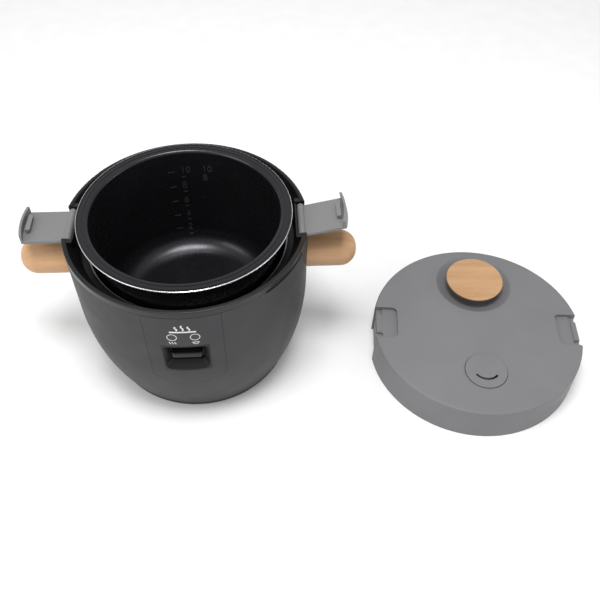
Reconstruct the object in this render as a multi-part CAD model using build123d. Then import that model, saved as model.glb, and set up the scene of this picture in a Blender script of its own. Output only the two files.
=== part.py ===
from build123d import *
import math
import os

# A round electric rice cooker with a lift-out pot, a loose lid, two side latches and
# two round wooden handles. Millimetres, +Z up, origin on the cooker's axis at the level
# it stands on. The switch faces -Y, the power inlet +Y, latches and handles lie along X.

# ---------------------------------------------------------------- driving dimensions
RIM_Z = 158.6            # top edge of the outer shell
SHELL_TOP_R = 103.2      # outside radius of the shell at that edge
SHELL_MID_R = 102.8      # outside radius where the wall turns into the bowl
BOWL_Z = 92.0            # height of that turn
BOWL_R = 211.2           # section radius of the bowl below it
SHELL_LOW_Z = 6.0        # lower edge of the shell
WALL = 2.4               # shell thickness
SEAM_Z = 152.0           # joint line between the shell and the rim band above it
SEAM_GAP = 0.3
EDGE = 0.8               # rounding on moulded edges

POT_R = 81.0             # outside radius of the pot's wall
POT_WALL = 1.4
POT_BASE_Z = 52.5        # underside of the pot
POT_RIM_Z = 167.7        # top of its flange
POT_FLANGE_R = 90.0
POT_CORNER = 22.0        # inside rounding between floor and wall
FLANGE_BEND = 3.0        # inside bend between wall and flange
FLANGE_GROOVES = ((83.9, 84.8), (87.7, 88.4))
FLANGE_GROOVE_DEPTH = 0.35

THROAT_R = 91.2          # opening of the collar round the pot
THROAT_TOP_Z = 141.5
THROAT_LOW_Z = 137.2
COLLAR_R = 100.5
COLLAR_SKIRT_Z = 144.0
COLLAR_WALL = 2.2
COLLAR_LEDGE_R = 85.8    # inward ledge that hides the heat shield's top edge

LINER_R = 84.5           # inside radius of the heat shield round the pot
LINER_WALL = 0.8
LINER_LOW_Z = 30.0

HINGE_X = 97.5           # latch hinge axis
HINGE_Z = 154.0
BARREL_R = 3.0
PIN_R = 1.5
RUNNING_GAP = 0.1
LATCH_HALF_W = 18.0
LATCH_LENGTH = 37.7      # hinge axis to the plate's outer corners
LATCH_BULGE = 2.3        # how far the end lip bows out between them
LATCH_T = 2.4
LIP_H = 6.5
RIGHT_LATCH_TILT = 13.5  # the right latch stands this many degrees above level
NOTCH_HALF_W = 19.6

HANDLE_R = 16.0
HANDLE_END_X = 146.6
HANDLE_Z = 119.9
HANDLE_ROUND = 14.5

PANEL_HALF_W = 31.0
PANEL_TOP_Z = 151.5
PANEL_SIDE_Z = 74.0      # where the sides meet the arched lower edge
PANEL_LOW_Z = 62.0
PANEL_GAP = 0.2
LAMP_X = 9.2
LAMP_Z = 128.4
LAMP_R = 3.4

POCKET_HALF_W = 21.5     # the scoop's mouth, measured at SURFACE_Y
POCKET_Z = (82.8, 116.3)
WINDOW_HALF_W = 13.4
WINDOW_Z = (90.3, 112.5)
WINDOW_Y = -95.6
POCKET_BACK_Y = -94.6
BEZEL_HALF_W = 19.4
BEZEL_Z = (83.0, 116.8)
SURFACE_Y = -104.5       # just outside the shell's front

SWITCH_TRAVEL = 5.0
PADDLE_Z = (WINDOW_Z[0] - 1.8, WINDOW_Z[1] + SWITCH_TRAVEL + 0.5)
PADDLE_LIP_Z = (98.2, 104.4)
PADDLE_HALF_W = 15.4     # the plate behind the window, wider than it
PADDLE_LIP_HALF_W = 12.6

PLATE_R = 62.0           # heating plate
PLATE_Z = (38.0, 52.3)
PLATE_HOLE_R = 16.4
REFLECTOR_Z = (30.8, 32.0)
CAP_R = 15.6
ROCKER_PIVOT_Y = -40.0
ROCKER_ARM = 40.0        # the same each side of the pivot
ROCKER_Z = 20.5
ROCKER_T = 2.5
MAGNET_R = 9.0

BASE_R = 84.3
BASE_Z = (2.5, 5.9)
FOOT_R = (74.0, 82.8)
POST_RING_R = 68.0
POST_AZIMUTHS = (60, 180, 300)

INLET_HALF_W = 16.0
INLET_Z = (9.5, 29.3)
INLET_Y = (72.0, 93.5)
INLET_WALL = 2.2
INLET_FLOOR_Y = 77.0

LID_X = 267.4            # the lid lies to the right of the cooker, slightly turned
LID_Y = -27.5
LID_TURN = -5.3
LID_LOW_R = 100.3
LID_TOP_R = 99.5
LID_H = 35.7
LID_WALL = 2.2
LID_ROUND = 2.0
LID_NOTCH_X = 76.5
LID_NOTCH_HALF_W = 18.2
LID_NOTCH_FLOOR = 32.5
LID_RECESS_X = 96.4      # side wall set back behind a closed latch
LID_PLATE_Z = 11.5       # top of the aluminium plate inside
LID_FIX_R = 62.0         # its four screws
LID_FIX_AZIMUTHS = (25, 155, 205, 335)
BOWL_X = 2.2             # finger bowl under the knob, in the lid's own axes
BOWL_Y = 54.5
DISH_R = 37.0
DISH_DEPTH = 12.0
KNOB_R = 28.0
KNOB_Z = (38.0, 42.6)
STEM_R = 8.5
VENT_X = 2.4
VENT_Y = -52.6
VENT_R = 19.3
VENT_WELL_Z = 28.0
VENT_BORE_R = 9.2


# ---------------------------------------------------------------- shared helpers
def turned(points):
    """Solid of revolution about Z from a closed outline of (radius, height) points."""
    return revolve(Plane.XZ * make_face(Polyline(*points, close=True)), Axis.Z)


def ring(inner_r, outer_r, low_z, high_z):
    """Plain ring or, with no inner radius, a disc about Z."""
    body = Pos(0, 0, low_z) * extrude(Circle(outer_r), high_z - low_z)
    if inner_r:
        body -= Pos(0, 0, low_z - 1) * extrude(Circle(inner_r), high_z - low_z + 2)
    return body


def block(x, y, z):
    """Box from three (low, high) pairs."""
    sizes = [high - low for low, high in (x, y, z)]
    middle = [(high + low) / 2 for low, high in (x, y, z)]
    return Pos(*middle) * Box(*sizes)


def rod(axis, radius, start, length):
    """Cylinder from a start point along the X, Y or Z direction."""
    plane = Plane(start, z_dir={"X": (1, 0, 0), "Y": (0, 1, 0), "Z": (0, 0, 1)}[axis])
    return plane * extrude(Circle(radius), length)


def quarter(start, centre, end):
    """Arc about a centre from start to end, the short way round."""
    a = Vector(*start) - Vector(*centre)
    b = Vector(*end) - Vector(*centre)
    return ThreePointArc(start, Vector(*centre) + (a + b).normalized() * a.length, end)


def circles(shape, radius, z, tolerance=0.06):
    """Circular edges about Z with one radius at one height."""
    round_edges = shape.edges().filter_by(GeomType.CIRCLE)
    return round_edges.filter_by(
        lambda e: abs(e.radius - radius) < tolerance
        and abs(e.arc_center.Z - z) < tolerance
    )


def around(shape, radius, azimuths):
    """Copies of a shape set on a circle about Z."""
    return [
        Rot(0, 0, azimuth) * Pos(radius, 0, 0) * shape for azimuth in azimuths
    ]


def mirrored_x(shape):
    """The same shape on the other side of the YZ plane."""
    return mirror(shape, Plane.YZ)


# ---------------------------------------------------------------- housing
def shell_body(inset, low_z=SHELL_LOW_Z, high_z=RIM_Z):
    """Filled volume of the shell, drawn in from its outside by inset."""
    centre_r = SHELL_MID_R - BOWL_R

    def bowl_point(z):
        return centre_r + math.sqrt((BOWL_R - inset) ** 2 - (BOWL_Z - z) ** 2), z

    middle = bowl_point((low_z + BOWL_Z) / 2)
    turn = (SHELL_MID_R - inset, BOWL_Z)
    slope = (SHELL_TOP_R - SHELL_MID_R) / (RIM_Z - BOWL_Z)
    top = (turn[0] + slope * (high_z - BOWL_Z), high_z)
    outline = ThreePointArc(bowl_point(low_z), middle, turn) + Line(turn, top)
    outline += Polyline(top, (0, high_z), (0, low_z), bowl_point(low_z))
    return revolve(Plane.XZ * make_face(outline), Axis.Z)


def panel_outline(grow=0.0):
    """Prism through the front wall with the control panel's outline."""
    half = PANEL_HALF_W + grow
    top = PANEL_TOP_Z + grow
    corner_l = (-half, PANEL_SIDE_Z - grow)
    corner_r = (half, PANEL_SIDE_Z - grow)
    outline = ThreePointArc(corner_l, (0, PANEL_LOW_Z - grow), corner_r)
    outline += Polyline(corner_r, (half, top), (-half, top), corner_l)
    face = Plane((0, 0, 0), x_dir=(1, 0, 0), z_dir=(0, -1, 0)) * make_face(outline)
    return extrude(face, -SURFACE_Y)


def rim_slot():
    """Long shallow slot in the rim band on the front right."""
    band = ring(SHELL_TOP_R - 1.7, SHELL_TOP_R + 2, 150.3, 153.8)
    reach = 130
    start, stop = math.radians(-50), math.radians(-21)
    wedge = make_face(Polyline(
        (0, 0),
        (reach * math.cos(start), reach * math.sin(start)),
        (reach * math.cos(stop), reach * math.sin(stop)),
        close=True,
    ))
    return band & extrude(Pos(0, 0, 140) * wedge, 30)


def hinge_notch():
    """Clearance for a latch in the rim, on the +X side."""
    return block((94.0, 112), (-NOTCH_HALF_W, NOTCH_HALF_W), (149.4, RIM_Z + 2))


def make_outer_shell():
    shell = shell_body(0, high_z=SEAM_Z) - shell_body(WALL, SHELL_LOW_Z - 1, RIM_Z + 1)
    ledge_r = SHELL_MID_R - WALL + 0.1
    shell += ring(ledge_r - 2.6, ledge_r + 0.5, COLLAR_SKIRT_Z - 2.5, COLLAR_SKIRT_Z)
    shell -= panel_outline(PANEL_GAP)
    shell -= rim_slot()
    screw_hole = rod("X", 2.3, (90, 0, HANDLE_Z), 30)
    inlet_gap = 0.2
    for cut in (hinge_notch(), latch_pin_hole(), screw_hole):
        shell -= cut
        shell -= mirrored_x(cut)
    shell -= block(
        (-INLET_HALF_W - inlet_gap, INLET_HALF_W + inlet_gap),
        (60, 110),
        (INLET_Z[0] - inlet_gap, INLET_Z[1] + inlet_gap),
    )
    return shell


def latch_pin_hole():
    """Hole along a latch's hinge axis, on the +X side."""
    return rod("Y", PIN_R + 0.02, (HINGE_X, -25, HINGE_Z), 50)


def hinge_lugs():
    """Solid ears and back wall that carry one latch pin, on the +X side."""
    ear = block((92.4, COLLAR_R + 1), (NOTCH_HALF_W, 24.0), (145.0, 157.8))
    wall = block((92.4, 93.9), (-NOTCH_HALF_W, NOTCH_HALF_W), (140.0, 156.4))
    ears = ear + mirror(ear, Plane.XZ) + wall
    return ears & ring(0, COLLAR_R, 130, 170)


def rim_band():
    """Upright band round the top of the housing, above the seam."""
    band = shell_body(0) - shell_body(WALL + 0.6, SHELL_LOW_Z - 1, RIM_Z + 1)
    band = fillet(circles(band, SHELL_TOP_R, RIM_Z), EDGE)
    return band & ring(0, 120, SEAM_Z + SEAM_GAP, RIM_Z + 1)


def make_collar_ring():
    collar = turned([
        (COLLAR_R, RIM_Z - 0.4),
        (COLLAR_R - 0.8, RIM_Z - 0.4),
        (THROAT_R, THROAT_TOP_Z),
        (THROAT_R, THROAT_LOW_Z + 1.8),
        (COLLAR_LEDGE_R, THROAT_LOW_Z + 1.8),
        (COLLAR_LEDGE_R, THROAT_LOW_Z + 0.2),
        (THROAT_R + COLLAR_WALL, THROAT_LOW_Z + 0.2),
        (THROAT_R + COLLAR_WALL, THROAT_TOP_Z - 0.7),
        (COLLAR_R - COLLAR_WALL, 149.6),
        (COLLAR_R - COLLAR_WALL, COLLAR_SKIRT_Z),
        (COLLAR_R, COLLAR_SKIRT_Z),
    ])
    collar = fillet(circles(collar, THROAT_R, THROAT_TOP_Z), 2.0)
    collar += rim_band()
    collar -= rim_slot()
    for turn in (0, 180):
        side = Rot(0, 0, turn)
        collar -= side * hinge_notch()
        collar += side * hinge_lugs()
        collar -= side * latch_pin_hole()
    return collar


def make_inner_liner():
    outer_r = LINER_R + LINER_WALL
    return turned([
        (LINER_R, LINER_LOW_Z + LINER_WALL),
        (LINER_R, THROAT_LOW_Z),
        (THROAT_R + 2, THROAT_LOW_Z),
        (THROAT_R + 2, THROAT_LOW_Z - LINER_WALL),
        (outer_r, THROAT_LOW_Z - LINER_WALL),
        (outer_r, LINER_LOW_Z),
        (64, LINER_LOW_Z),
        (64, LINER_LOW_Z + LINER_WALL),
    ])


def make_control_panel():
    panel = (shell_body(0) - shell_body(WALL, SHELL_LOW_Z - 1, RIM_Z + 1)) & panel_outline()
    for side in (-1, 1):
        panel -= rod("Y", LAMP_R + 0.05, (side * LAMP_X, SURFACE_Y, LAMP_Z), 12)
        panel += rod("Y", 2.0, (side * 19, -100.5, LAMP_Z), 5.5)
    gap = 0.15
    half = BEZEL_HALF_W + gap
    panel -= block((-half, half), (SURFACE_Y, -80), (BEZEL_Z[0] - gap, BEZEL_Z[1] + gap))
    return panel


def rectangle_at(y, half_w, z, corner_r=2.0):
    """Rounded face across the front at one depth."""
    plane = Plane((0, y, (z[0] + z[1]) / 2), x_dir=(1, 0, 0), z_dir=(0, -1, 0))
    return plane * RectangleRounded(2 * half_w, z[1] - z[0], corner_r)


def make_switch_bezel():
    blank = block((-BEZEL_HALF_W, BEZEL_HALF_W), (SURFACE_Y, POCKET_BACK_Y), BEZEL_Z)
    bezel = shell_body(0) & blank
    scoop = loft([
        rectangle_at(WINDOW_Y, WINDOW_HALF_W, WINDOW_Z),
        rectangle_at(SURFACE_Y, POCKET_HALF_W, POCKET_Z, 5.0),
    ])
    window = extrude(rectangle_at(-90, WINDOW_HALF_W, WINDOW_Z), 8)
    return bezel - scoop - window


def make_lamp_lens(side):
    lens = rod("Y", LAMP_R, (side * LAMP_X, SURFACE_Y, LAMP_Z), 6.5)
    return lens & shell_body(0.0)


def make_lamp_board():
    board = block((-22, 22), (-95, -93.4), (120, 137))
    for side in (-1, 1):
        board += rod("Y", 2.2, (side * LAMP_X, -97.6, LAMP_Z), 2.8)
    return board


def make_base_cover():
    cover = ring(0, BASE_R, *BASE_Z)
    cover += ring(80.0, 81.8, BASE_Z[1], 9.0)
    slot = Pos(0, 0, 4) * Box(16, 3, 8)
    for cut in around(slot, 47, range(0, 360, 20)):
        cover -= cut
    screw_hole = rod("Z", 2.1, (0, 0, 0), 8) + rod("Z", 4.3, (0, 0, 0), 4)
    for cut in around(screw_hole, POST_RING_R, POST_AZIMUTHS):
        cover -= cut
    return fillet(circles(cover, BASE_R, BASE_Z[0]), EDGE)


def make_foot_ring():
    foot = ring(*FOOT_R, 0, BASE_Z[0])
    return fillet(circles(foot, FOOT_R[1], 0), 0.6)


def make_base_screws():
    screw = rod("Z", 2.0, (0, 0, 3.9), 12) + rod("Z", 3.8, (0, 0, 2.7), 1.3)
    screw -= Pos(0, 0, 2.7) * Box(5, 0.9, 1.2)
    return around(screw, POST_RING_R, POST_AZIMUTHS)


def make_chassis_posts():
    post = rod("Z", 4.0, (0, 0, BASE_Z[1]), LINER_LOW_Z - BASE_Z[1])
    post -= rod("Z", 2.05, (0, 0, 0), 16.5)
    return around(post, POST_RING_R, POST_AZIMUTHS)


# ---------------------------------------------------------------- handles
def make_handle():
    """Turned wooden grip on the +X side, its inner end cut to the shell."""
    length = HANDLE_END_X - 90
    grip = rod("X", HANDLE_R, (90, 0, HANDLE_Z), length)
    end = grip.edges().filter_by(GeomType.CIRCLE).sort_by(Axis.X)[-1]
    grip = fillet(end, HANDLE_ROUND)
    grip -= shell_body(-0.05)
    return grip - rod("X", 2.05, (90, 0, HANDLE_Z), 37)


def make_handle_screw():
    """Screw from inside the shell into one grip, on the +X side."""
    shank = rod("X", 2.0, (100.0, 0, HANDLE_Z), 26)
    washer = rod("X", 7.0, (98.9, 0, HANDLE_Z), 1.1)
    head = rod("X", 4.0, (96.4, 0, HANDLE_Z), 2.6)
    cross = block((96, 97.6), (-2.4, 2.4), (HANDLE_Z - 0.4, HANDLE_Z + 0.4))
    return (shank + washer + head - cross) & (shell_body(WALL + 0.02) + shank)


# ---------------------------------------------------------------- latches
def make_latch():
    """Latch lying level towards +X, hinge axis on Y at the origin."""
    corner = (LATCH_LENGTH, LATCH_HALF_W)
    corner_front = (LATCH_LENGTH, -LATCH_HALF_W)
    tip = (LATCH_LENGTH + LATCH_BULGE, 0)
    lip_t = 2.0
    outer = ThreePointArc(corner_front, tip, corner)
    plate = make_face(
        outer + Polyline(corner, (0, LATCH_HALF_W), (0, -LATCH_HALF_W), corner_front)
    )
    inner_tip = (tip[0] - lip_t, 0)
    inner = ThreePointArc(
        (corner[0] - lip_t, corner[1]), inner_tip, (corner[0] - lip_t, -corner[1])
    )
    lip_ends = Line(corner, (corner[0] - lip_t, corner[1]))
    lip_ends += Line((corner[0] - lip_t, -corner[1]), corner_front)
    lip = make_face(outer + inner + lip_ends)
    body = Pos(0, 0, -LATCH_T) * extrude(plate, LATCH_T)
    body += Pos(0, 0, -LATCH_T) * extrude(lip, LIP_H + LATCH_T)
    body += rod("Y", BARREL_R, (0, -LATCH_HALF_W, 0), 2 * LATCH_HALF_W)
    body += block((32.8, 35.0), (-8.2, 10.2), (-0.5, 4.6))
    body += block((31.4, 33.0), (-8.2, 10.2), (3.2, 4.6))
    return body - rod("Y", PIN_R + RUNNING_GAP, (0, -25, 0), 50)


def make_latch_pin():
    return rod("Y", PIN_R, (HINGE_X, -23.6, HINGE_Z), 47.2)


# ---------------------------------------------------------------- pot and heater
def make_inner_pot():
    inner_r = POT_R - POT_WALL
    outer_corner = POT_CORNER + POT_WALL
    floor_z = POT_BASE_Z + 1.5
    under_z = POT_RIM_Z - 1.5
    out_bend = FLANGE_BEND - 1.4
    bend_r = inner_r + FLANGE_BEND
    corner_r = POT_R - outer_corner
    section = Line((0, POT_BASE_Z), (corner_r, POT_BASE_Z))
    section += quarter(
        (corner_r, POT_BASE_Z),
        (corner_r, POT_BASE_Z + outer_corner),
        (POT_R, POT_BASE_Z + outer_corner),
    )
    section += Line((POT_R, POT_BASE_Z + outer_corner), (POT_R, under_z - out_bend))
    section += quarter(
        (POT_R, under_z - out_bend),
        (POT_R + out_bend, under_z - out_bend),
        (POT_R + out_bend, under_z),
    )
    section += Polyline(
        (POT_R + out_bend, under_z),
        (POT_FLANGE_R, under_z),
        (POT_FLANGE_R, POT_RIM_Z),
        (bend_r, POT_RIM_Z),
    )
    section += quarter(
        (bend_r, POT_RIM_Z),
        (bend_r, POT_RIM_Z - FLANGE_BEND),
        (inner_r, POT_RIM_Z - FLANGE_BEND),
    )
    section += Line((inner_r, POT_RIM_Z - FLANGE_BEND), (inner_r, floor_z + POT_CORNER))
    section += quarter(
        (inner_r, floor_z + POT_CORNER),
        (inner_r - POT_CORNER, floor_z + POT_CORNER),
        (inner_r - POT_CORNER, floor_z),
    )
    section += Polyline((inner_r - POT_CORNER, floor_z), (0, floor_z), (0, POT_BASE_Z))
    pot = revolve(Plane.XZ * make_face(section), Axis.Z)
    for groove in FLANGE_GROOVES:
        pot -= ring(*groove, POT_RIM_Z - FLANGE_GROOVE_DEPTH, POT_RIM_Z + 1)
    outer_edges = circles(pot, POT_FLANGE_R, POT_RIM_Z) + circles(pot, POT_FLANGE_R, under_z)
    return fillet(outer_edges, 0.5)


def make_heating_plate():
    plate = ring(PLATE_HOLE_R, PLATE_R, *PLATE_Z)
    plate = fillet(circles(plate, PLATE_R, PLATE_Z[1]), 2.0)
    groove = ring(40, 52, PLATE_Z[0] - 1, PLATE_Z[0] + 2)
    return plate - groove


def make_heating_element():
    """Tubular heater cast into the plate's underside, with two cold ends turned down."""
    turn_r = 46.0
    tube_r = 3.6
    tube_z = PLATE_Z[0] + 2 - tube_r
    torus = Pos(0, 0, tube_z) * Torus(turn_r, tube_r)
    gap = Pos(0, turn_r, tube_z) * Box(26, 24, 20)
    element = torus - gap
    for side in (-1, 1):
        end_x = side * 13.0
        end_y = math.sqrt(turn_r**2 - end_x**2)
        element += rod("Z", 2.4, (end_x + side * 0.6, end_y, 24.0), tube_z - 24.0)
    return element


def make_reflector_plate():
    plate = ring(22, 72, *REFLECTOR_Z)
    for side in (-1, 1):
        plate -= rod("Z", 4.5, (side * 13.6, 44.1, 20), 20)
    plate -= rod("Z", 1.6, (30, 0, 20), 20) + rod("Z", 1.6, (-30, 0, 20), 20)
    return plate


def make_plate_posts():
    post = rod("Z", 4.0, (0, 0, REFLECTOR_Z[1]), PLATE_Z[0] - REFLECTOR_Z[1])
    return around(post, 57, (0, 120, 240))


def make_thermostat_bracket():
    """Bridge under the heating plate that the cap's spring stands on."""
    bridge = ring(10.0, 21.0, 34.0, 35.2)
    leg = block((17.5, 20.5), (-4, 4), (35.2, PLATE_Z[0]))
    return bridge + leg + mirrored_x(leg)


def helix_spring(mean_r, wire_r, low_z, high_z, turns):
    """Open coil standing on Z between two heights."""
    height = high_z - low_z - 2 * wire_r
    path = Helix(pitch=height / turns, height=height, radius=mean_r)
    section = Plane(path @ 0, z_dir=path % 0) * Circle(wire_r)
    return Pos(0, 0, low_z + wire_r) * sweep(section, path=path)


def make_thermostat_cap():
    cap = turned([
        (0, 52.3), (CAP_R, 52.3), (CAP_R, 38.4), (CAP_R - 1.0, 38.4),
        (CAP_R - 1.0, 51.0), (0, 51.0),
    ])
    return fillet(circles(cap, CAP_R, 52.3), 0.8)


def make_sensor_ferrite():
    return ring(0, 8.0, 44.2, 51.0)


def make_magnet():
    return ring(3.0, MAGNET_R, 31.1, 38.1)


def make_magnet_rod():
    """Rod through the magnet, with a collar for the return spring and a foot."""
    stem = ring(0, 3.0, 22.3, 38.1)
    collar = ring(0, 12.2, 24.0, 25.0)
    return stem + collar


# ---------------------------------------------------------------- switch gear
def make_pivot_bracket():
    """Two cheeks hung from the reflector plate."""
    half_y = 5.0
    y = (ROCKER_PIVOT_Y - half_y, ROCKER_PIVOT_Y + half_y)
    cheek = block((6.4, 8.0), y, (16.0, REFLECTOR_Z[0]))
    foot = block((-8.0, 8.0), y, (REFLECTOR_Z[0] - 1.4, REFLECTOR_Z[0]))
    bracket = cheek + mirrored_x(cheek) + foot
    return bracket - rod("X", PIN_R + 0.02, (-10, ROCKER_PIVOT_Y, ROCKER_Z), 20)


def make_rocker_pin():
    return rod("X", PIN_R, (-9.5, ROCKER_PIVOT_Y, ROCKER_Z), 19)


def make_rocker_arm():
    low_z = ROCKER_Z - ROCKER_T / 2
    ends = (ROCKER_PIVOT_Y - ROCKER_ARM, ROCKER_PIVOT_Y + ROCKER_ARM)
    arm = block((-4, 4), ends, (low_z, low_z + ROCKER_T))
    arm += rod("X", 3.4, (-6.0, ROCKER_PIVOT_Y, ROCKER_Z), 12)
    for end_y in ends:
        arm += rod("X", 1.5, (-4, end_y, ROCKER_Z), 8)
    return arm - rod("X", PIN_R + RUNNING_GAP, (-10, ROCKER_PIVOT_Y, ROCKER_Z), 20)


def make_microswitch():
    body = block((-6, 6), (-66, -46), (BASE_Z[1], 15.5))
    body -= rod("Z", 1.75, (0, -56, 11.0), 6)
    for y in (-63, -49):
        body += block((6, 9.5), (y - 1.5, y + 1.5), (8, 8.8))
    return body


def make_switch_plunger():
    plunger = rod("Z", 1.5, (0, -56, 13.4), 5.5)
    top = circles(plunger, 1.5, 18.9)
    return fillet(top, 0.5)


def make_switch_paddle():
    plate = block((-PADDLE_HALF_W, PADDLE_HALF_W), (-93.8, -91.8), PADDLE_Z)
    lip = block((-PADDLE_LIP_HALF_W, PADDLE_LIP_HALF_W), (-100.6, -93.8), PADDLE_LIP_Z)
    lip = fillet(lip.edges().filter_by(Axis.Z).sort_by(Axis.Y)[:2], 2.4)
    lip = fillet(lip.faces().sort_by(Axis.Y)[0].edges(), 1.2)
    neck = block((-4, 4), (-91.8, -88.2), (97, 104))
    return plate + lip + neck


def make_paddle_link():
    """Cranked strip that carries the paddle's stroke down to the rocker."""
    strip = block((-3, 3), (-88.2, -86.8), (27.0, 104))
    jog = block((-3, 3), (-88.2, -79), (27.0, 28.5))
    foot = block((-3, 3), (-81, -79), (22.3, 28.5))
    return strip + jog + foot


def make_thermal_fuse():
    return rod("X", 3.0, (-8, 30, 26.6), 16) + rod("X", 0.6, (-14, 30, 26.6), 28)


def make_fuse_clip():
    strap = ring(3.05, 4.0, -3, 3)
    strap = Pos(0, 30, 26.6) * Rot(0, 90, 0) * strap
    return strap + block((-3, 3), (26.0, 34.0), (30.1, 30.8))


def lead(points, radii):
    """Insulated wire inside the base."""
    route = FilletPolyline(*points, radius=radii)
    section = Plane(route @ 0, z_dir=route % 0) * Circle(1.1)
    return sweep(section, path=route)


def make_internal_leads():
    to_switch = lead(
        [(7, 69.5, 17.4), (7, 60, 17.4), (20, 40, 10), (20, -30, 10), (10, -49, 12), (9, -55, 12)],
        [4, 5, 5, 5],
    )
    to_heater = lead(
        [(-7, 69.5, 17.4), (-7, 62, 17.4), (-13.6, 52, 20), (-13.6, 44.5, 21)],
        [3, 3],
    )
    return [to_switch, to_heater]


# ---------------------------------------------------------------- power inlet
def inlet_pin_blades():
    blades = []
    for x, z in ((-7, 17.4), (7, 17.4), (0, 21.4)):
        blades.append(block((x - 1, x + 1), (70, 91), (z - 2, z + 2)))
    return blades


def make_inlet_housing():
    housing = block((-INLET_HALF_W, INLET_HALF_W), INLET_Y, INLET_Z)
    housing = fillet(housing.edges().filter_by(Axis.Y), 1.5)
    cavity = block(
        (-INLET_HALF_W + INLET_WALL, INLET_HALF_W - INLET_WALL),
        (INLET_FLOOR_Y, INLET_Y[1] + 1),
        (INLET_Z[0] + INLET_WALL, INLET_Z[1] - INLET_WALL),
    )
    housing -= fillet(cavity.edges().filter_by(Axis.Y), 1.0)
    for blade in inlet_pin_blades():
        housing -= blade
    return housing


# ---------------------------------------------------------------- lid
def lid_block(inset, low_z):
    """Filled volume of the lid from low_z up, drawn in from its outside by inset."""
    top_z = LID_H - inset
    return turned([(0, low_z), (LID_LOW_R - inset, low_z), (LID_TOP_R - inset, top_z), (0, top_z)])


def notch_void():
    """Space sunk in the lid's top and side for a closed latch, at the +X edge."""
    half = LID_NOTCH_HALF_W
    sunk = block((LID_NOTCH_X, 110), (-half, half), (LID_NOTCH_FLOOR, LID_H + 5))
    sunk = fillet(sunk.edges().filter_by(Axis.Z).sort_by(Axis.X)[:2], 5)
    ridge_z = (LID_NOTCH_FLOOR - 1, LID_NOTCH_FLOOR + 1.1)
    sunk -= block((91.8, LID_RECESS_X), (-11, 11), ridge_z)
    side = block((LID_RECESS_X, 110), (-half - 0.5, half + 0.5), (-2, LID_H + 5))
    hook_slot = block((90.4, 100), (-11.0, 11.0), (25.6, LID_NOTCH_FLOOR - 1.8))
    lip_pocket = block((90.6, 110), (11.6, half), (LID_NOTCH_FLOOR - 1.6, LID_H))
    return sunk + side + hook_slot + lip_pocket + mirror(lip_pocket, Plane.XZ)


def notch_backing():
    """Material kept inside the lid behind one notch."""
    half = LID_NOTCH_HALF_W + LID_WALL
    floor = block((LID_NOTCH_X - LID_WALL, 110), (-half, half), (LID_NOTCH_FLOOR - 3.8, 50))
    floor = fillet(floor.edges().filter_by(Axis.Z).sort_by(Axis.X)[:2], 6)
    wall = block((LID_RECESS_X - 2.4, 110), (-half - 0.5, half + 0.5), (-5, 50))
    return floor + wall


def dish_sphere(grow=0.0):
    """Ball that hollows the finger bowl under the knob."""
    ball_r = (DISH_R**2 + DISH_DEPTH**2) / (2 * DISH_DEPTH)
    centre_z = LID_H - DISH_DEPTH + ball_r
    return Pos(BOWL_X, BOWL_Y, centre_z) * Sphere(ball_r + grow)


def lid_bosses(radius, low_z, length):
    """Cylinders on the fixing points of the inner plate."""
    return around(rod("Z", radius, (0, 0, low_z), length), LID_FIX_R, LID_FIX_AZIMUTHS)


def lid_hollow():
    """Room inside the lid, less the walls round its notches, bowl, vent and bosses."""
    hollow = lid_block(LID_WALL, -1)
    for turn in (0, 180):
        hollow -= Rot(0, 0, turn) * notch_backing()
    hollow -= dish_sphere(2.0)
    hollow -= Pos(VENT_X, VENT_Y, 0) * ring(0, VENT_R + 2.4, VENT_WELL_Z - 2, 50)
    for boss in lid_bosses(4.0, LID_PLATE_Z, 40):
        hollow -= boss
    return hollow


def make_lid_shell():
    lid = lid_block(0, 0)
    lid = fillet(circles(lid, LID_TOP_R, LID_H), LID_ROUND) - lid_hollow()
    for turn in (0, 180):
        lid -= Rot(0, 0, turn) * notch_void()
    lid -= dish_sphere()
    vent = Pos(VENT_X, VENT_Y, 0)
    lid -= vent * ring(0, VENT_R + 0.4, VENT_WELL_Z, 50)
    lid -= vent * ring(0, VENT_BORE_R, 0, 50)
    for hole in lid_bosses(1.5, 5, 17):
        lid -= hole
    return lid - rod("Z", 2.1, (BOWL_X, BOWL_Y, 10), 20)


def make_lid_inner_plate():
    plate = turned([
        (0, LID_PLATE_Z), (88, LID_PLATE_Z), (91.5, 13.2), (92.5, 13.2), (92.5, 12.2),
        (89, LID_PLATE_Z - 1), (0, LID_PLATE_Z - 1),
    ])
    plate -= Pos(VENT_X, VENT_Y, 0) * ring(0, 6.0, 5, 20)
    for hole in lid_bosses(1.6, 5, 10):
        plate -= hole
    return plate


def make_lid_gasket():
    return turned([(80, 10.5), (89, 10.5), (90.5, 8.6), (84, 8.0), (80, 9.4)])


def make_lid_screws():
    screw = rod("Z", 1.45, (0, 0, 9.4), 12) + rod("Z", 3.0, (0, 0, 9.0), 1.5)
    return around(screw, LID_FIX_R, LID_FIX_AZIMUTHS)


def make_knob_stem():
    post = rod("Z", STEM_R, (BOWL_X, BOWL_Y, 20), KNOB_Z[0] - 20)
    foot = rod("Z", STEM_R + 4, (BOWL_X, BOWL_Y, 20), 6.4)
    stem = (post + foot) & dish_sphere(-0.01)
    return stem - rod("Z", 2.1, (BOWL_X, BOWL_Y, 10), 40)


def make_knob():
    """Thin turned disc whose underside slopes up to a narrow edge."""
    low, high = KNOB_Z
    knob = turned([
        (0, low), (KNOB_R - 6, low), (KNOB_R, high - 2.2), (KNOB_R, high), (0, high),
    ])
    knob = fillet(circles(knob, KNOB_R, high), 0.9)
    knob = fillet(circles(knob, KNOB_R, high - 2.2), 0.7)
    return Pos(BOWL_X, BOWL_Y, 0) * knob - rod("Z", 2.05, (BOWL_X, BOWL_Y, 30), 10.5)


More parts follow.
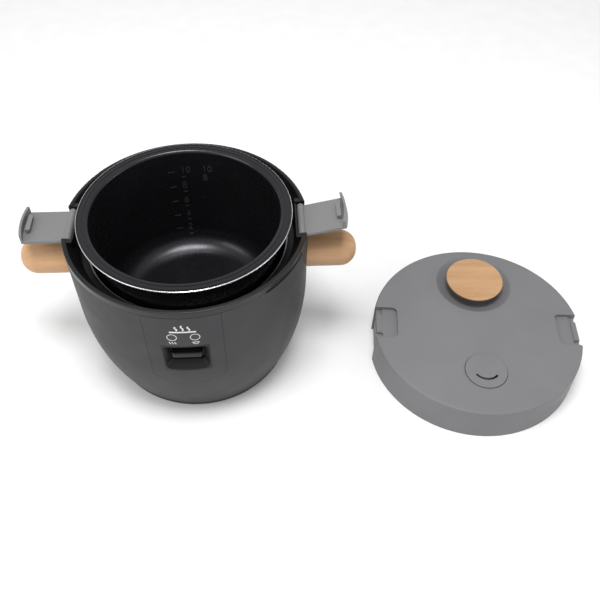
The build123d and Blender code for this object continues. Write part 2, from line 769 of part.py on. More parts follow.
def make_knob_screw():
    shank = rod("Z", 2.0, (BOWL_X, BOWL_Y, 20.5), 19.5)
    return shank + rod("Z", 4.5, (BOWL_X, BOWL_Y, 18.0), 2.5)


def make_vent_duct():
    duct = ring(VENT_BORE_R, VENT_BORE_R + 2.0, 11.5, VENT_WELL_Z - 2)
    return Pos(VENT_X, VENT_Y, 0) * duct


def smile_slot():
    """Curved steam slot through the top of the vent cap."""
    band = make_face(Circle(13.1).edge()) - make_face(Circle(10.9).edge())
    wedge = make_face(Polyline(
        (0, 0), (-14, -10.2), (-14, -20), (14, -20), (14, -10.2), close=True
    ))
    return extrude(Pos(0, 2.1, 33) * (band & wedge), 12)


def make_vent_cap():
    cap = ring(0, VENT_R, 29.2, 36.9)
    cap = fillet(circles(cap, VENT_R, 36.9), 0.7)
    cap -= ring(0, VENT_R - 1.8, 20, 34.6)
    cap += ring(7.2, VENT_BORE_R - 0.3, 22.0, 35.0)
    cap -= block((-20, 20), (-3, 3), (31.0, 34.0)) & ring(0, VENT_R - 3, 20, 40)
    cap += ring(VENT_BORE_R - 1, 15.0, 29.2, 30.4)
    cap -= smile_slot()
    return Pos(VENT_X, VENT_Y, 0) * cap


def make_vent_seal():
    return Pos(VENT_X, VENT_Y, 0) * ring(9.6, 14.0, VENT_WELL_Z, 29.2)


# ---------------------------------------------------------------- assembly
def cooker_parts():
    """Everything fixed to the housing."""
    handle = make_handle()
    handle_screw = make_handle_screw()
    return {
        "outer_shell": make_outer_shell(),
        "collar_ring": make_collar_ring(),
        "inner_liner": make_inner_liner(),
        "control_panel": make_control_panel(),
        "switch_bezel": make_switch_bezel(),
        "cook_lamp_lens": make_lamp_lens(-1),
        "warm_lamp_lens": make_lamp_lens(1),
        "lamp_board": make_lamp_board(),
        "base_cover": make_base_cover(),
        "foot_ring": make_foot_ring(),
        "base_screws": make_base_screws(),
        "chassis_posts": make_chassis_posts(),
        "handle_left": mirrored_x(handle),
        "handle_right": handle,
        "handle_screws": [mirrored_x(handle_screw), handle_screw],
        "latch_pin_left": mirrored_x(make_latch_pin()),
        "latch_pin_right": make_latch_pin(),
        "heating_plate": make_heating_plate(),
        "heating_element": make_heating_element(),
        "reflector_plate": make_reflector_plate(),
        "plate_posts": make_plate_posts(),
        "thermostat_bracket": make_thermostat_bracket(),
        "thermostat_spring": helix_spring(12.4, 0.6, 35.2, 51.0, 5),
        "magnet_spring": helix_spring(11.2, 0.4, 25.0, 34.0, 3),
        "pivot_bracket": make_pivot_bracket(),
        "rocker_pin": make_rocker_pin(),
        "microswitch": make_microswitch(),
        "thermal_fuse": make_thermal_fuse(),
        "fuse_clip": make_fuse_clip(),
        "internal_leads": make_internal_leads(),
        "inlet_housing": make_inlet_housing(),
        "inlet_pins": inlet_pin_blades(),
    }


def moving_parts():
    """The pot, both latches and the switch gear."""
    latch = make_latch()
    hinge = Pos(HINGE_X, 0, HINGE_Z)
    return {
        "inner_pot": make_inner_pot(),
        "latch_left": mirrored_x(hinge * latch),
        "latch_right": hinge * Rot(0, -RIGHT_LATCH_TILT, 0) * latch,
        "switch_paddle": make_switch_paddle(),
        "paddle_link": make_paddle_link(),
        "rocker_arm": make_rocker_arm(),
        "switch_plunger": make_switch_plunger(),
        "magnet": make_magnet(),
        "magnet_rod": make_magnet_rod(),
        "thermostat_cap": make_thermostat_cap(),
        "sensor_ferrite": make_sensor_ferrite(),
    }


def lid_parts():
    """The lid and what is on it, laid beside the cooker."""
    place = Pos(LID_X, LID_Y, 0) * Rot(0, 0, LID_TURN)
    pieces = {
        "lid_shell": make_lid_shell(),
        "lid_inner_plate": make_lid_inner_plate(),
        "lid_gasket": make_lid_gasket(),
        "lid_screws": make_lid_screws(),
        "lid_knob": make_knob(),
        "knob_stem": make_knob_stem(),
        "knob_screw": make_knob_screw(),
        "vent_duct": make_vent_duct(),
        "steam_vent_cap": make_vent_cap(),
        "vent_seal": make_vent_seal(),
    }
    placed = {}
    for name, piece in pieces.items():
        if isinstance(piece, list):
            placed[name] = [place * one for one in piece]
        else:
            placed[name] = place * piece
    return placed


def as_solids(piece):
    """One shape to export: a single solid, or a group of separate solids."""
    pieces = piece if isinstance(piece, list) else [piece]
    solids = [solid for one in pieces for solid in one.solids()]
    return solids[0] if len(solids) == 1 else Compound(children=solids)


os.makedirs("parts", exist_ok=True)
for part_name, part in {**cooker_parts(), **moving_parts(), **lid_parts()}.items():
    export_step(as_solids(part), f"parts/{part_name}.step")
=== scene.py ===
"""Looks of the rice cooker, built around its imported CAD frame. Metres throughout."""

import math

import bmesh
import bpy
from mathutils import Matrix, Vector
from mathutils.bvhtree import BVHTree


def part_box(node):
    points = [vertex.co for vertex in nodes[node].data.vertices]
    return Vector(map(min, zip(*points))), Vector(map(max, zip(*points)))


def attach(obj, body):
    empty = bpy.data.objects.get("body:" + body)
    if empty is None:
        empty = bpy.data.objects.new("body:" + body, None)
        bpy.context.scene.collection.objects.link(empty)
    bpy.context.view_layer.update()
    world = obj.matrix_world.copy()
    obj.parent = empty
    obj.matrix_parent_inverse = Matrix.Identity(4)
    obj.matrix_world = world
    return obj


MM = 0.001

SHELL_GREY = (0.041, 0.0412, 0.044)
LID_GREY = (0.166, 0.164, 0.172)
LATCH_GREY = (0.178, 0.178, 0.181)
BEECH_PALE = (0.64, 0.385, 0.205)
BEECH_DEEP = (0.55, 0.315, 0.150)
STEEL = (0.60, 0.60, 0.61)
BRASS = (0.78, 0.60, 0.30)

BARE_RIM_WIDTH = 0.55 * MM   # machined edge left uncoated round the pot's flange
BARE_RIM_DEPTH = 1.6 * MM

PRINT_LIFT = 0.06 * MM       # half the thickness of the ink on the panel
FINE_LINE = 0.6 * MM
LAMP_LINE = 0.55 * MM
BAR_LINE = 1.6 * MM
STEAM_LINE = 1.2 * MM

MARK_LIFT = 0.35 * MM        # how far the level marks stand out of the pot's wall
MARK_LINE = 0.9 * MM
MARK_AZIMUTH = 97            # degrees from +X, at the back of the pot
MARK_WALL_R = 79.6 * MM
DIGIT_UNIT = 1.1 * MM
DIGIT_PITCH = 4.8 * MM

CAMERA_AT = (0.0676, -0.4594, 0.5886)
CAMERA_PAN = 3.77            # degrees, to the right
CAMERA_TILT = 49.53          # degrees, down
CAMERA_ROLL = 1.21
CAMERA_LENS = 44.2
SENSOR_WIDTH = 36.0

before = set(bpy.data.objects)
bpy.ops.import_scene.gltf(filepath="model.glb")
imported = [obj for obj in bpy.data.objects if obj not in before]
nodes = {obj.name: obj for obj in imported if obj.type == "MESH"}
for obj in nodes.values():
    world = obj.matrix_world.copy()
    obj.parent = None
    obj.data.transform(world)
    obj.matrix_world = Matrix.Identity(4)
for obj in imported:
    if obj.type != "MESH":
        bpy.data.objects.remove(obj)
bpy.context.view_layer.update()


# ---------------------------------------------------------------- material kit
class Look:
    """A procedural material: one Principled shader and the nodes that feed it."""

    def __init__(self, name, **sockets):
        self.material = bpy.data.materials.new(name)
        self.material.use_nodes = True
        self.tree = self.material.node_tree
        self.shader = self.tree.nodes["Principled BSDF"]
        for socket, value in sockets.items():
            self.shader.inputs[socket.replace("_", " ")].default_value = value

    def node(self, kind, props=None, **inputs):
        made = self.tree.nodes.new("ShaderNode" + kind)
        for prop, value in (props or {}).items():
            setattr(made, prop, value)
        for name, value in inputs.items():
            self.feed(made.inputs[name.replace("_", " ")], value)
        return made

    def feed(self, socket, value):
        if isinstance(value, bpy.types.NodeSocket):
            self.tree.links.new(value, socket)
        else:
            socket.default_value = value

    def to(self, socket, value):
        self.feed(self.shader.inputs[socket], value)

    def place(self, scale=(1, 1, 1), turn=(0, 0, 0), shift=(0, 0, 0)):
        """The piece's own coordinates in metres, stretched, turned and shifted."""
        own = self.node("TexCoord").outputs["Object"]
        mapping = self.node("Mapping", Vector=own, Location=shift, Rotation=turn, Scale=scale)
        return mapping.outputs["Vector"]

    def noise(self, where, scale, detail=2.0, rough=0.5, distortion=0.0):
        made = self.node(
            "TexNoise", Vector=where, Scale=scale, Detail=detail, Roughness=rough,
            Distortion=distortion,
        )
        return made.outputs["Fac"]

    def rings(self, centre, scale, detail=3.0):
        """Noise that only changes with the distance from a vertical axis."""
        flat = self.place(scale=(1, 1, 0), shift=(-centre[0], -centre[1], 0))
        radius = self.node("VectorMath", {"operation": "LENGTH"}, Vector=flat).outputs["Value"]
        made = self.node("TexNoise", {"noise_dimensions": "1D"}, W=radius, Scale=scale, Detail=detail)
        return made.outputs["Fac"]

    def math(self, operation, a, b=0.0):
        made = self.node("Math", {"operation": operation})
        self.feed(made.inputs[0], a)
        self.feed(made.inputs[1], b)
        return made.outputs["Value"]

    def spread(self, value, low, high, source=(0.3, 0.7)):
        made = self.node(
            "MapRange", Value=value, From_Min=source[0], From_Max=source[1],
            To_Min=low, To_Max=high,
        )
        return made.outputs["Result"]

    def ramp(self, value, stops):
        made = self.node("ValToRGB", Fac=value)
        elements = made.color_ramp.elements
        while len(elements) < len(stops):
            elements.new(0.5)
        for element, (position, colour) in zip(elements, stops):
            element.position = position
            element.color = (*colour, 1.0)
        return made.outputs["Color"]

    def blend(self, factor, a, b, how="MIX"):
        made = self.node("Mix", {"data_type": "RGBA", "blend_type": how})
        self.feed(made.inputs[0], factor)
        for socket, value in ((made.inputs[6], a), (made.inputs[7], b)):
            self.feed(socket, (*value, 1.0) if isinstance(value, tuple) else value)
        return made.outputs[2]

    def relief(self, height, depth, strength=1.0, under=None):
        """Adds a height field of a given depth in metres to the surface's normal."""
        made = self.node("Bump", Height=height, Distance=depth, Strength=strength)
        if under is not None:
            self.feed(made.inputs["Normal"], under)
        return made.outputs["Normal"]


def toned(colour, factor):
    return tuple(min(1.0, c * factor) for c in colour)


# ---------------------------------------------------------------- materials
def moulded(name, colour, rough, specular=0.5):
    """Moulded plastic: spark-eroded grain, slow tone drift and faint rub marks."""
    grain_scale = 2200
    look = Look(name, Specular_IOR_Level=specular)
    where = look.place()
    drift = look.noise(where, 14, detail=3, distortion=0.4)
    base = look.ramp(drift, [(0.3, toned(colour, 0.95)), (0.7, toned(colour, 1.05))])
    speck = look.noise(where, grain_scale * 0.5, detail=2)
    base = look.blend(0.35, base, look.ramp(speck, [
        (0.35, (0.86, 0.86, 0.86)), (0.65, (1.0, 1.0, 1.0)),
    ]), "MULTIPLY")
    rubbed = look.noise(look.place(scale=(1.0, 0.12, 0.5), turn=(0.3, 0.2, 0.7)), 420, detail=4)
    marks = look.spread(rubbed, 0.0, 0.05, source=(0.62, 0.78))
    look.to("Base Color", look.blend(marks, base, toned(colour, 1.7)))
    patches = look.noise(where, 38, detail=4, rough=0.6)
    look.to("Roughness", look.spread(patches, rough - 0.05, rough + 0.05))
    swell = look.relief(look.noise(where, 9, detail=1), 0.0004, strength=0.12)
    grain = look.noise(where, grain_scale, detail=3)
    look.to("Normal", look.relief(grain, 0.00003, under=swell))
    return look


def beech(name, tint=1.0, shift=(0, 0, 0), face_z=None):
    """Oiled beech along X; below face_z its turned edge is darkened: painted shade on the knob's
    side.
    """
    pale = toned(BEECH_PALE, tint)
    deep = toned(BEECH_DEEP, tint)
    look = Look(name, Specular_IOR_Level=0.35)
    fibre = look.noise(look.place(scale=(0.035, 1, 1), shift=shift), 1500, detail=3, rough=0.6)
    bands = look.noise(
        look.place(scale=(0.10, 1, 0.55), shift=shift), 95, detail=3, distortion=0.9
    )
    tone = look.ramp(bands, [(0.30, deep), (0.5, toned(pale, 0.97)), (0.72, toned(pale, 1.06))])
    tone = look.blend(0.55, tone, look.ramp(fibre, [
        (0.34, (0.86, 0.83, 0.79)), (0.6, (1.0, 1.0, 1.0)),
    ]), "MULTIPLY")
    grain_way = look.place(scale=(0.16, 1, 1), shift=shift)
    fleck = look.node(
        "TexVoronoi", {"feature": "F1"}, Vector=grain_way, Scale=620.0,
    ).outputs["Distance"]
    dashes = look.spread(fleck, 0.42, 0.0, source=(0.05, 0.24))
    tone = look.blend(dashes, tone, toned(deep, 0.62))
    if face_z is not None:
        height = look.node("SeparateXYZ", Vector=look.place()).outputs["Z"]
        # Painted shade: the side below the top face is multiplied darker, for the shade on the knob's
        # side under light from above.
        painted_side_shade = look.spread(height, 0.75, 0.0, source=(face_z - 1.0 * MM, face_z - 0.3 * MM))
        tone = look.blend(painted_side_shade, tone, (0.42, 0.34, 0.27), "MULTIPLY")
    look.to("Base Color", tone)
    look.to("Roughness", look.spread(bands, 0.50, 0.38))
    pores = look.relief(fleck, 0.00006, strength=0.35)
    look.to("Normal", look.relief(fibre, 0.00005, strength=0.7, under=pores))
    return look


def brushed(name, colour, rough):
    """Drawn or rolled metal with fine parallel lines."""
    look = Look(name, Metallic=1.0)
    lines = look.noise(look.place(scale=(1, 0.03, 1)), 1800, detail=4, rough=0.65)
    stain = look.noise(look.place(), 30, detail=4)
    tone = look.ramp(lines, [(0.3, toned(colour, 0.84)), (0.7, colour)])
    look.to("Base Color", look.blend(look.spread(stain, 0, 0.3), tone, toned(colour, 0.72)))
    look.to("Roughness", look.spread(stain, rough - 0.06, rough + 0.08))
    look.to("Normal", look.relief(lines, 0.000012))
    return look


def lathe_turned(name, colour, rough, centre=(0, 0)):
    """Metal faced on a lathe: concentric lines round one axis."""
    look = Look(name, Metallic=1.0)
    lines = look.rings(centre, 1600)
    stain = look.noise(look.place(), 24, detail=5, rough=0.65)
    tone = look.ramp(lines, [(0.32, toned(colour, 0.82)), (0.68, colour)])
    look.to("Base Color", look.blend(look.spread(stain, 0, 0.35), tone, toned(colour, 0.66)))
    look.to("Roughness", look.spread(stain, rough - 0.05, rough + 0.10))
    look.to("Normal", look.relief(lines, 0.00002))
    return look


def pot_finish(rim_inner_r, rim_low_z):
    """Black non-stick coat, speckled and faintly ringed, with a bare machined rim."""
    look = Look("pot_nonstick", Specular_IOR_Level=0.5, Specular_Tint=(0.93, 0.91, 1.0, 1.0))
    where = look.place()
    coat = look.ramp(look.noise(where, 900, detail=2), [
        (0.40, (0.0050, 0.0050, 0.0056)), (0.66, (0.0085, 0.0084, 0.0096)),
    ])
    sparkle = look.node("TexVoronoi", Vector=where, Scale=1500.0).outputs["Distance"]
    coat = look.blend(look.spread(sparkle, 0.4, 0.0, source=(0.04, 0.12)), coat, (0.05, 0.05, 0.055))
    split = look.node("SeparateXYZ", Vector=where)
    flat = look.node("CombineXYZ", X=split.outputs["X"], Y=split.outputs["Y"]).outputs["Vector"]
    radius = look.node("VectorMath", {"operation": "LENGTH"}, Vector=flat).outputs["Value"]
    outside = look.math("GREATER_THAN", radius, rim_inner_r)
    above = look.math("GREATER_THAN", split.outputs["Z"], rim_low_z)
    bare = look.math("MULTIPLY", outside, above)
    lines = look.rings((0, 0), 900)
    metal = look.ramp(lines, [(0.3, (0.80, 0.80, 0.81)), (0.7, (0.95, 0.95, 0.96))])
    look.to("Base Color", look.blend(bare, coat, metal))
    look.to("Metallic", bare)
    scuffs = look.noise(where, 45, detail=5, rough=0.6)
    look.to("Roughness", look.spread(scuffs, 0.24, 0.31))
    turned = look.relief(lines, 0.00003, strength=0.35)
    look.to("Normal", look.relief(look.noise(where, 1300, detail=2), 0.000010, under=turned))
    return look


def satin_black(name, colour, rough, specular=0.5):
    """Glossier black plastic with polishing haze and a fine orange peel."""
    look = Look(name, Specular_IOR_Level=specular)
    where = look.place()
    haze = look.noise(where, 26, detail=5, rough=0.62)
    look.to("Base Color", look.ramp(haze, [(0.3, toned(colour, 0.8)), (0.7, toned(colour, 1.2))]))
    look.to("Roughness", look.spread(haze, rough - 0.06, rough + 0.07))
    peel = look.relief(look.noise(where, 260, detail=2), 0.00003, strength=0.5)
    look.to("Normal", look.relief(look.noise(where, 2600, detail=2), 0.000012, under=peel))
    return look


def smoked_lens(name, glow):
    """Smoked indicator window with a moulded ripple and a warm element behind."""
    look = Look(name, Specular_IOR_Level=0.4)
    ripple = look.noise(look.place(), 700, detail=2)
    look.to("Base Color", look.ramp(ripple, [(0.35, toned(glow, 0.6)), (0.65, glow)]))
    look.to("Roughness", look.spread(ripple, 0.10, 0.2))
    look.to("Normal", look.relief(ripple, 0.00004, strength=0.6))
    return look


def soft_rubber(name, colour, rough=0.75):
    look = Look(name, Specular_IOR_Level=0.3)
    where = look.place()
    dust = look.noise(where, 160, detail=5, rough=0.7)
    look.to("Base Color", look.ramp(dust, [(0.35, toned(colour, 0.8)), (0.7, toned(colour, 1.35))]))
    look.to("Roughness", look.spread(dust, rough - 0.08, rough + 0.08))
    look.to("Normal", look.relief(look.noise(where, 1500, detail=3), 0.00004))
    return look


def printed_ink(name, colour):
    """Screen-printed ink, slightly uneven and broken at its thin places."""
    look = Look(name, Specular_IOR_Level=0.3)
    cover = look.noise(look.place(), 2400, detail=3)
    look.to("Base Color", look.ramp(cover, [(0.3, toned(colour, 0.8)), (0.6, colour)]))
    look.to("Roughness", look.spread(cover, 0.5, 0.62))
    look.to("Normal", look.relief(cover, 0.00001))
    return look


def sintered(name, colour):
    look = Look(name)
    grit = look.noise(look.place(), 1100, detail=5, rough=0.7)
    look.to("Base Color", look.ramp(grit, [(0.3, toned(colour, 0.6)), (0.7, toned(colour, 1.5))]))
    look.to("Roughness", look.spread(grit, 0.55, 0.72))
    look.to("Normal", look.relief(grit, 0.00005))
    return look


def laminate(name):
    """Phenolic board: paper fibre under resin."""
    look = Look(name, Coat_Weight=0.3, Coat_Roughness=0.2)
    paper = look.noise(look.place(scale=(0.2, 1, 1)), 900, detail=4)
    look.to("Base Color", look.ramp(paper, [(0.3, (0.23, 0.12, 0.04)), (0.7, (0.36, 0.21, 0.08))]))
    look.to("Roughness", look.spread(paper, 0.35, 0.5))
    look.to("Normal", look.relief(paper, 0.00002))
    return look


# ---------------------------------------------------------------- shapes
def mesh_piece(name, bm, look, body):
    """Turns a bmesh into a piece that rides on a body."""
    bmesh.ops.remove_doubles(bm, verts=bm.verts, dist=1e-7)
    bmesh.ops.recalc_face_normals(bm, faces=bm.faces)
    mesh = bpy.data.meshes.new(name)
    bm.to_mesh(mesh)
    bm.free()
    piece = bpy.data.objects.new(name, mesh)
    bpy.context.scene.collection.objects.link(piece)
    mesh.materials.append(look.material)
    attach(piece, body)
    return piece


def surface_of(node):
    mesh = nodes[node].data
    corners = [v.co.copy() for v in mesh.vertices]
    return BVHTree.FromPolygons(corners, [tuple(p.vertices) for p in mesh.polygons])


def stroke_outline(points, width):
    """Left and right edges of a stroke of one width along 2-D points."""
    left, right = [], []
    for i, (x, y) in enumerate(points):
        before = points[max(i - 1, 0)]
        after = points[min(i + 1, len(points) - 1)]
        along = Vector((after[0] - before[0], after[1] - before[1])).normalized()
        across = Vector((-along.y, along.x)) * width / 2
        left.append((x + across.x, y + across.y))
        right.append((x - across.x, y - across.y))
    return left, right


def finely(points, step):
    """The same 2-D polyline with points no further apart than step."""
    out = [points[0]]
    for a, b in zip(points, points[1:]):
        pieces = max(1, math.ceil(math.dist(a, b) / step))
        for i in range(1, pieces + 1):
            t = i / pieces
            out.append((a[0] + (b[0] - a[0]) * t, a[1] + (b[1] - a[1]) * t))
    return out


def add_stroke(bm, points, width, wrap, height, step=0.4 * MM):
    """Raised strip along a 2-D line, laid on a surface by wrap(u, v, lift)."""
    left, right = stroke_outline(finely(points, step), width)
    rows = []
    for (lu, lv), (ru, rv) in zip(left, right):
        corners = [
            wrap(lu, lv, -height), wrap(lu, lv, height), wrap(ru, rv, height), wrap(ru, rv, -height),
        ]
        rows.append([bm.verts.new(c) for c in corners])
    for a, b in zip(rows, rows[1:]):
        for i in range(4):
            j = (i + 1) % 4
            bm.faces.new((a[i], a[j], b[j], b[i]))
    bm.faces.new(rows[0])
    bm.faces.new(rows[-1][::-1])


def arc_points(centre, radius, start, stop, count=24):
    angles = [math.radians(start + (stop - start) * i / count) for i in range(count + 1)]
    return [(centre[0] + radius * math.cos(a), centre[1] + radius * math.sin(a)) for a in angles]


def steam_wisp(x, z, height, sway):
    return [
        (x + sway * math.sin(2 * math.pi * i / 12), z + height * i / 12) for i in range(13)
    ]


# ---------------------------------------------------------------- front print
def panel_wrap():
    """Lays (x, z) on the control panel's curved front, lifted along its normal."""
    tree = surface_of("control_panel")
    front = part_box("control_panel")[0].y - 0.01

    def wrap(x, z, lift):
        hit, normal, _, _ = tree.ray_cast(Vector((x, front, z)), Vector((0, 1, 0)))
        return hit + normal * lift

    return wrap


def centre_of(node):
    """Middle (x, z) of a node's front."""
    low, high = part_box(node)
    return ((low.x + high.x) / 2, (low.z + high.z) / 2)


def add_lamp_symbols(bm, wrap, cook, warm, below):
    """Three little wisps under the cook lamp and a bowl under the warm lamp."""
    for dx in (-2.2, 0, 2.2):
        wisp = steam_wisp(cook[0] + dx * MM, cook[1] - below - 1.4 * MM, 2.6 * MM, 0.5 * MM)
        add_stroke(bm, wisp, FINE_LINE, wrap, PRINT_LIFT)
    bowl = arc_points((warm[0], warm[1] - below + 0.6 * MM), 2.3 * MM, 180, 360, 14)
    add_stroke(bm, bowl, FINE_LINE, wrap, PRINT_LIFT)
    rim = [(warm[0] - 3.0 * MM, bowl[0][1]), (warm[0] + 3.0 * MM, bowl[0][1])]
    add_stroke(bm, rim, FINE_LINE, wrap, PRINT_LIFT)


def add_steam_mark(bm, wrap, top):
    """A bar with three wisps of steam rising from it."""
    add_stroke(bm, [(-10.5 * MM, top), (10.5 * MM, top)], BAR_LINE, wrap, PRINT_LIFT)
    for dx, tall in ((-5, 4.8), (0, 6.4), (5, 4.8)):
        wisp = steam_wisp(dx * MM, top + 1.9 * MM, tall * MM, 0.8 * MM)
        add_stroke(bm, wisp, STEAM_LINE, wrap, PRINT_LIFT)


def build_front_print(ink):
    """Lamp outlines, a small symbol under each, and plain steam lines above."""
    wrap = panel_wrap()
    cook, warm = centre_of("cook_lamp_lens"), centre_of("warm_lamp_lens")
    low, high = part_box("cook_lamp_lens")
    lamp_r = (high.x - low.x) / 2
    bm = bmesh.new()
    for centre in (cook, warm):
        outline = arc_points(centre, lamp_r + 0.35 * MM, 0, 360, 48)
        add_stroke(bm, outline, LAMP_LINE, wrap, PRINT_LIFT)
    add_lamp_symbols(bm, wrap, cook, warm, below=lamp_r + 3.6 * MM)
    add_steam_mark(bm, wrap, top=(cook[1] + warm[1]) / 2 + lamp_r + 3.4 * MM)
    mesh_piece("panel_print", bm, ink, "cooker")


# ---------------------------------------------------------------- pot marks
DIGITS = {
    "2": [(0, 5), (1, 6), (2, 6), (3, 5), (3, 4), (0, 0), (3, 0)],
    "4": [(2.3, 0), (2.3, 6), (0, 2), (3, 2)],
    "6": [(2.8, 6), (1, 5), (0, 3), (0, 1), (1, 0), (2, 0), (3, 1), (3, 2), (2, 3), (0.2, 2.6)],
    "8": [(1.5, 3.2), (0.3, 4), (0.3, 5.2), (1.5, 6), (2.7, 5.2), (2.7, 4), (1.5, 3.2),
          (0, 2.2), (0, 1), (1, 0), (2, 0), (3, 1), (3, 2.2), (1.5, 3.2)],
    "1": [(0.6, 4.8), (1.6, 6), (1.6, 0)],
    "0": [(1.5, 0), (0.3, 1), (0, 3), (0.3, 5), (1.5, 6), (2.7, 5), (3, 3), (2.7, 1), (1.5, 0)],
}


def pot_wrap():
    """Lays (u, z) on the pot's inside wall, u along it clockwise, lifted into the pot."""
    tree = surface_of("inner_pot")

    def wrap(u, z, lift):
        azimuth = math.radians(MARK_AZIMUTH) - u / MARK_WALL_R
        outward = Vector((math.cos(azimuth), math.sin(azimuth), 0))
        hit, _, _, _ = tree.ray_cast(Vector((0, 0, z)), outward)
        return hit - outward * lift

    return wrap


def add_tick(bm, wrap, u, z, length):
    add_stroke(bm, [(u, z), (u + length, z)], MARK_LINE, wrap, MARK_LIFT)


def add_number(bm, wrap, text, u, z):
    for i, digit in enumerate(text):
        start = u + i * DIGIT_PITCH
        points = [(start + x * DIGIT_UNIT, z + (y - 3) * DIGIT_UNIT) for x, y in DIGITS[digit]]
        add_stroke(bm, points, MARK_LINE, wrap, MARK_LIFT)


def build_level_marks(look):
    """Raised water-level ticks and numbers on the back of the pot's wall."""
    wrap = pot_wrap()
    floor_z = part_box("inner_pot")[0].z
    bm = bmesh.new()
    for text, above in {"2": 22.5, "4": 40, "6": 58, "8": 76, "10": 94}.items():
        z = floor_z + above * MM
        add_number(bm, wrap, text, 0, z)
        add_tick(bm, wrap, -12 * MM, z - 1 * MM, 6 * MM)
        add_tick(bm, wrap, 0, z - 8 * MM, 3.5 * MM)
    for text, above in {"8": 85, "10": 95.5}.items():
        add_number(bm, wrap, text, 20 * MM, floor_z + above * MM)
    mesh_piece("pot_level_marks", bm, look, "pot")


# ---------------------------------------------------------------- dressing
def dress(names, look):
    for name in names.split():
        mesh = nodes[name].data
        mesh.materials.clear()
        mesh.materials.append(look.material)


def dress_housing():
    dress("outer_shell control_panel", moulded("shell_grey", SHELL_GREY, 0.55, specular=0.28))
    dress("collar_ring", satin_black("rim_black", (0.008, 0.008, 0.0086), 0.30, 0.4))
    dress("switch_bezel", satin_black("bezel_black", (0.010, 0.010, 0.011), 0.38, 0.25))
    dress("switch_paddle", satin_black("paddle_black", (0.010, 0.010, 0.011), 0.30, 0.25))
    dress("base_cover inlet_housing", moulded("base_black", (0.016, 0.016, 0.017), 0.55))
    dress("foot_ring", soft_rubber("foot_rubber", (0.014, 0.014, 0.014)))
    dress("latch_left latch_right", moulded("latch_grey", LATCH_GREY, 0.50))
    dress("cook_lamp_lens", smoked_lens("cook_lens", (0.034, 0.024, 0.023)))
    dress("warm_lamp_lens", smoked_lens("warm_lens", (0.033, 0.030, 0.024)))


def dress_wood():
    knob_top_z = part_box("lid_knob")[1].z
    dress("handle_left", beech("beech_left", 1.0, (0.013, 0.021, 0.004)))
    # The right handle's beech is toned down to 0.76: painted shade, for the handle lying partly in
    # the right latch's shade.
    dress("handle_right", beech("beech_right_shaded", 0.76, (0.047, 0.009, 0.031)))
    dress("lid_knob", beech("beech_knob", 0.78, (0.002, 0.043, 0.017), knob_top_z))


def dress_lid():
    low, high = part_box("lid_inner_plate")
    centre = ((low.x + high.x) / 2, (low.y + high.y) / 2)
    dress("lid_inner_plate", lathe_turned("lid_sheet", (0.72, 0.73, 0.74), 0.33, centre=centre))
    dress("lid_shell knob_stem", moulded("lid_grey", LID_GREY, 0.55))
    dress("steam_vent_cap", moulded("vent_grey", LID_GREY, 0.55))
    dress("lid_gasket vent_duct vent_seal", soft_rubber("silicone", (0.55, 0.55, 0.53), 0.5))


def dress_pot_and_works():
    pot_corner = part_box("inner_pot")[1]
    dress("inner_pot", pot_finish(pot_corner.x - BARE_RIM_WIDTH, pot_corner.z - BARE_RIM_DEPTH))
    dress("inner_liner", lathe_turned("liner_sheet", (0.70, 0.71, 0.72), 0.36))
    dress("thermostat_cap heating_plate", lathe_turned("heater_casting", (0.58, 0.58, 0.59), 0.42))
    dress("microswitch", satin_black("switch_case", (0.02, 0.02, 0.02), 0.4))
    dress("switch_plunger thermal_fuse", moulded("white_nylon", (0.72, 0.71, 0.66), 0.45))
    dress("lamp_board", laminate("phenolic_board"))
    dress("inlet_pins magnet_rod", brushed("brass", BRASS, 0.28))
    dress("magnet sensor_ferrite", sintered("ferrite", (0.05, 0.05, 0.055)))
    dress("internal_leads", soft_rubber("lead_sleeve", (0.62, 0.60, 0.54), 0.6))
    dress(
        "base_screws chassis_posts handle_screws latch_pin_left latch_pin_right "
        "heating_element reflector_plate plate_posts thermostat_bracket thermostat_spring "
        "magnet_spring pivot_bracket rocker_pin rocker_arm fuse_clip paddle_link "
        "lid_screws knob_screw",
        brushed("zinc_steel", STEEL, 0.34),
    )


# ---------------------------------------------------------------- set and camera
def build_floor():
    bm = bmesh.new()
    bmesh.ops.create_grid(bm, x_segments=4, y_segments=4, size=6.0)
    mesh = bpy.data.meshes.new("studio_floor")
    bm.to_mesh(mesh)
    bm.free()
    floor = bpy.data.objects.new("studio_floor", mesh)
    bpy.context.scene.collection.objects.link(floor)
    look = Look("floor_paper", Specular_IOR_Level=0.1)
    paper = look.noise(look.place(), 35, detail=4)
    look.to("Base Color", look.ramp(paper, [(0.3, (0.86, 0.86, 0.86)), (0.7, (0.89, 0.89, 0.89))]))
    look.to("Roughness", look.spread(paper, 0.85, 0.95))
    mesh.materials.append(look.material)


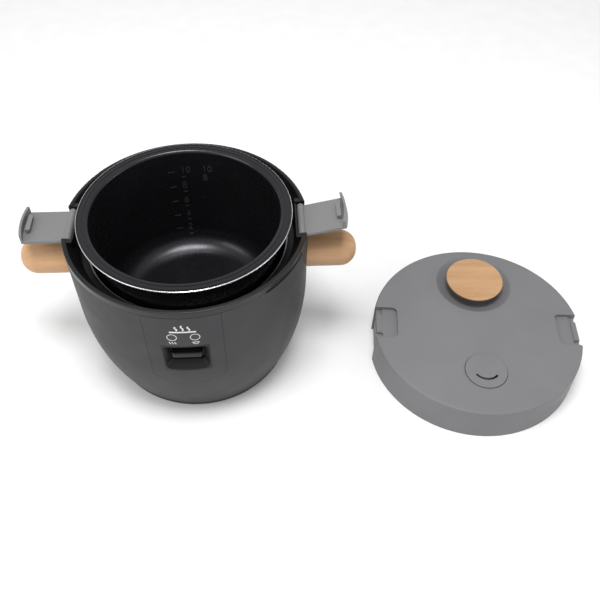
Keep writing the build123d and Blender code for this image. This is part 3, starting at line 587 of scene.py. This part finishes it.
def add_softbox(name, place, aim, size, watts):
    light = bpy.data.lights.new(name, "AREA")
    light.shape = "RECTANGLE"
    light.size, light.size_y = size
    light.energy = watts
    lamp = bpy.data.objects.new(name, light)
    bpy.context.scene.collection.objects.link(lamp)
    lamp.location = place
    lamp.rotation_euler = (Vector(aim) - Vector(place)).to_track_quat("-Z", "Y").to_euler()


def build_light():
    world = bpy.data.worlds.new("studio")
    world.use_nodes = True
    world.node_tree.nodes["Background"].inputs["Color"].default_value = (1, 1, 1, 1)
    world.node_tree.nodes["Background"].inputs["Strength"].default_value = 0.62
    bpy.context.scene.world = world
    add_softbox("overhead", (0.05, -0.22, 1.4), (0.1, 0.0, 0.1), (0.55, 0.4), 13)
    add_softbox("front_left", (-1.2, -0.6, 1.1), (0.0, 0.0, 0.1), (0.9, 0.9), 8)
    add_softbox("right_fill", (1.5, -0.2, 0.5), (0.25, 0.0, 0.03), (0.6, 0.6), 2.5)
    bpy.context.scene.view_settings.view_transform = "Standard"


def build_camera():
    """Camera in front of the cooker and above it, looking down into the pot."""
    pan, tilt, roll = (math.radians(a) for a in (CAMERA_PAN, CAMERA_TILT, CAMERA_ROLL))
    forward = Vector((
        math.sin(pan) * math.cos(tilt), math.cos(pan) * math.cos(tilt), -math.sin(tilt),
    ))
    level = Vector((math.cos(pan), -math.sin(pan), 0))
    raised = level.cross(forward)
    right = level * math.cos(roll) + raised * math.sin(roll)
    up = raised * math.cos(roll) - level * math.sin(roll)
    camera = bpy.data.objects.new("camera", bpy.data.cameras.new("camera"))
    camera.data.lens = CAMERA_LENS
    camera.data.sensor_width = SENSOR_WIDTH
    camera.data.clip_start = 0.01
    turn = Matrix((right, up, -forward)).transposed()
    camera.matrix_world = Matrix.Translation(CAMERA_AT) @ turn.to_4x4()
    bpy.context.scene.collection.objects.link(camera)
    bpy.context.scene.camera = camera


dress_housing()
dress_wood()
dress_lid()
dress_pot_and_works()
build_front_print(printed_ink("white_print", (0.82, 0.82, 0.82)))
# The level marks are really raised; their grey, lighter than the coat, is painted highlight for their
# lit edges.
build_level_marks(satin_black("embossed_marks", (0.035, 0.035, 0.038), 0.30))
build_floor()
build_light()
build_camera()
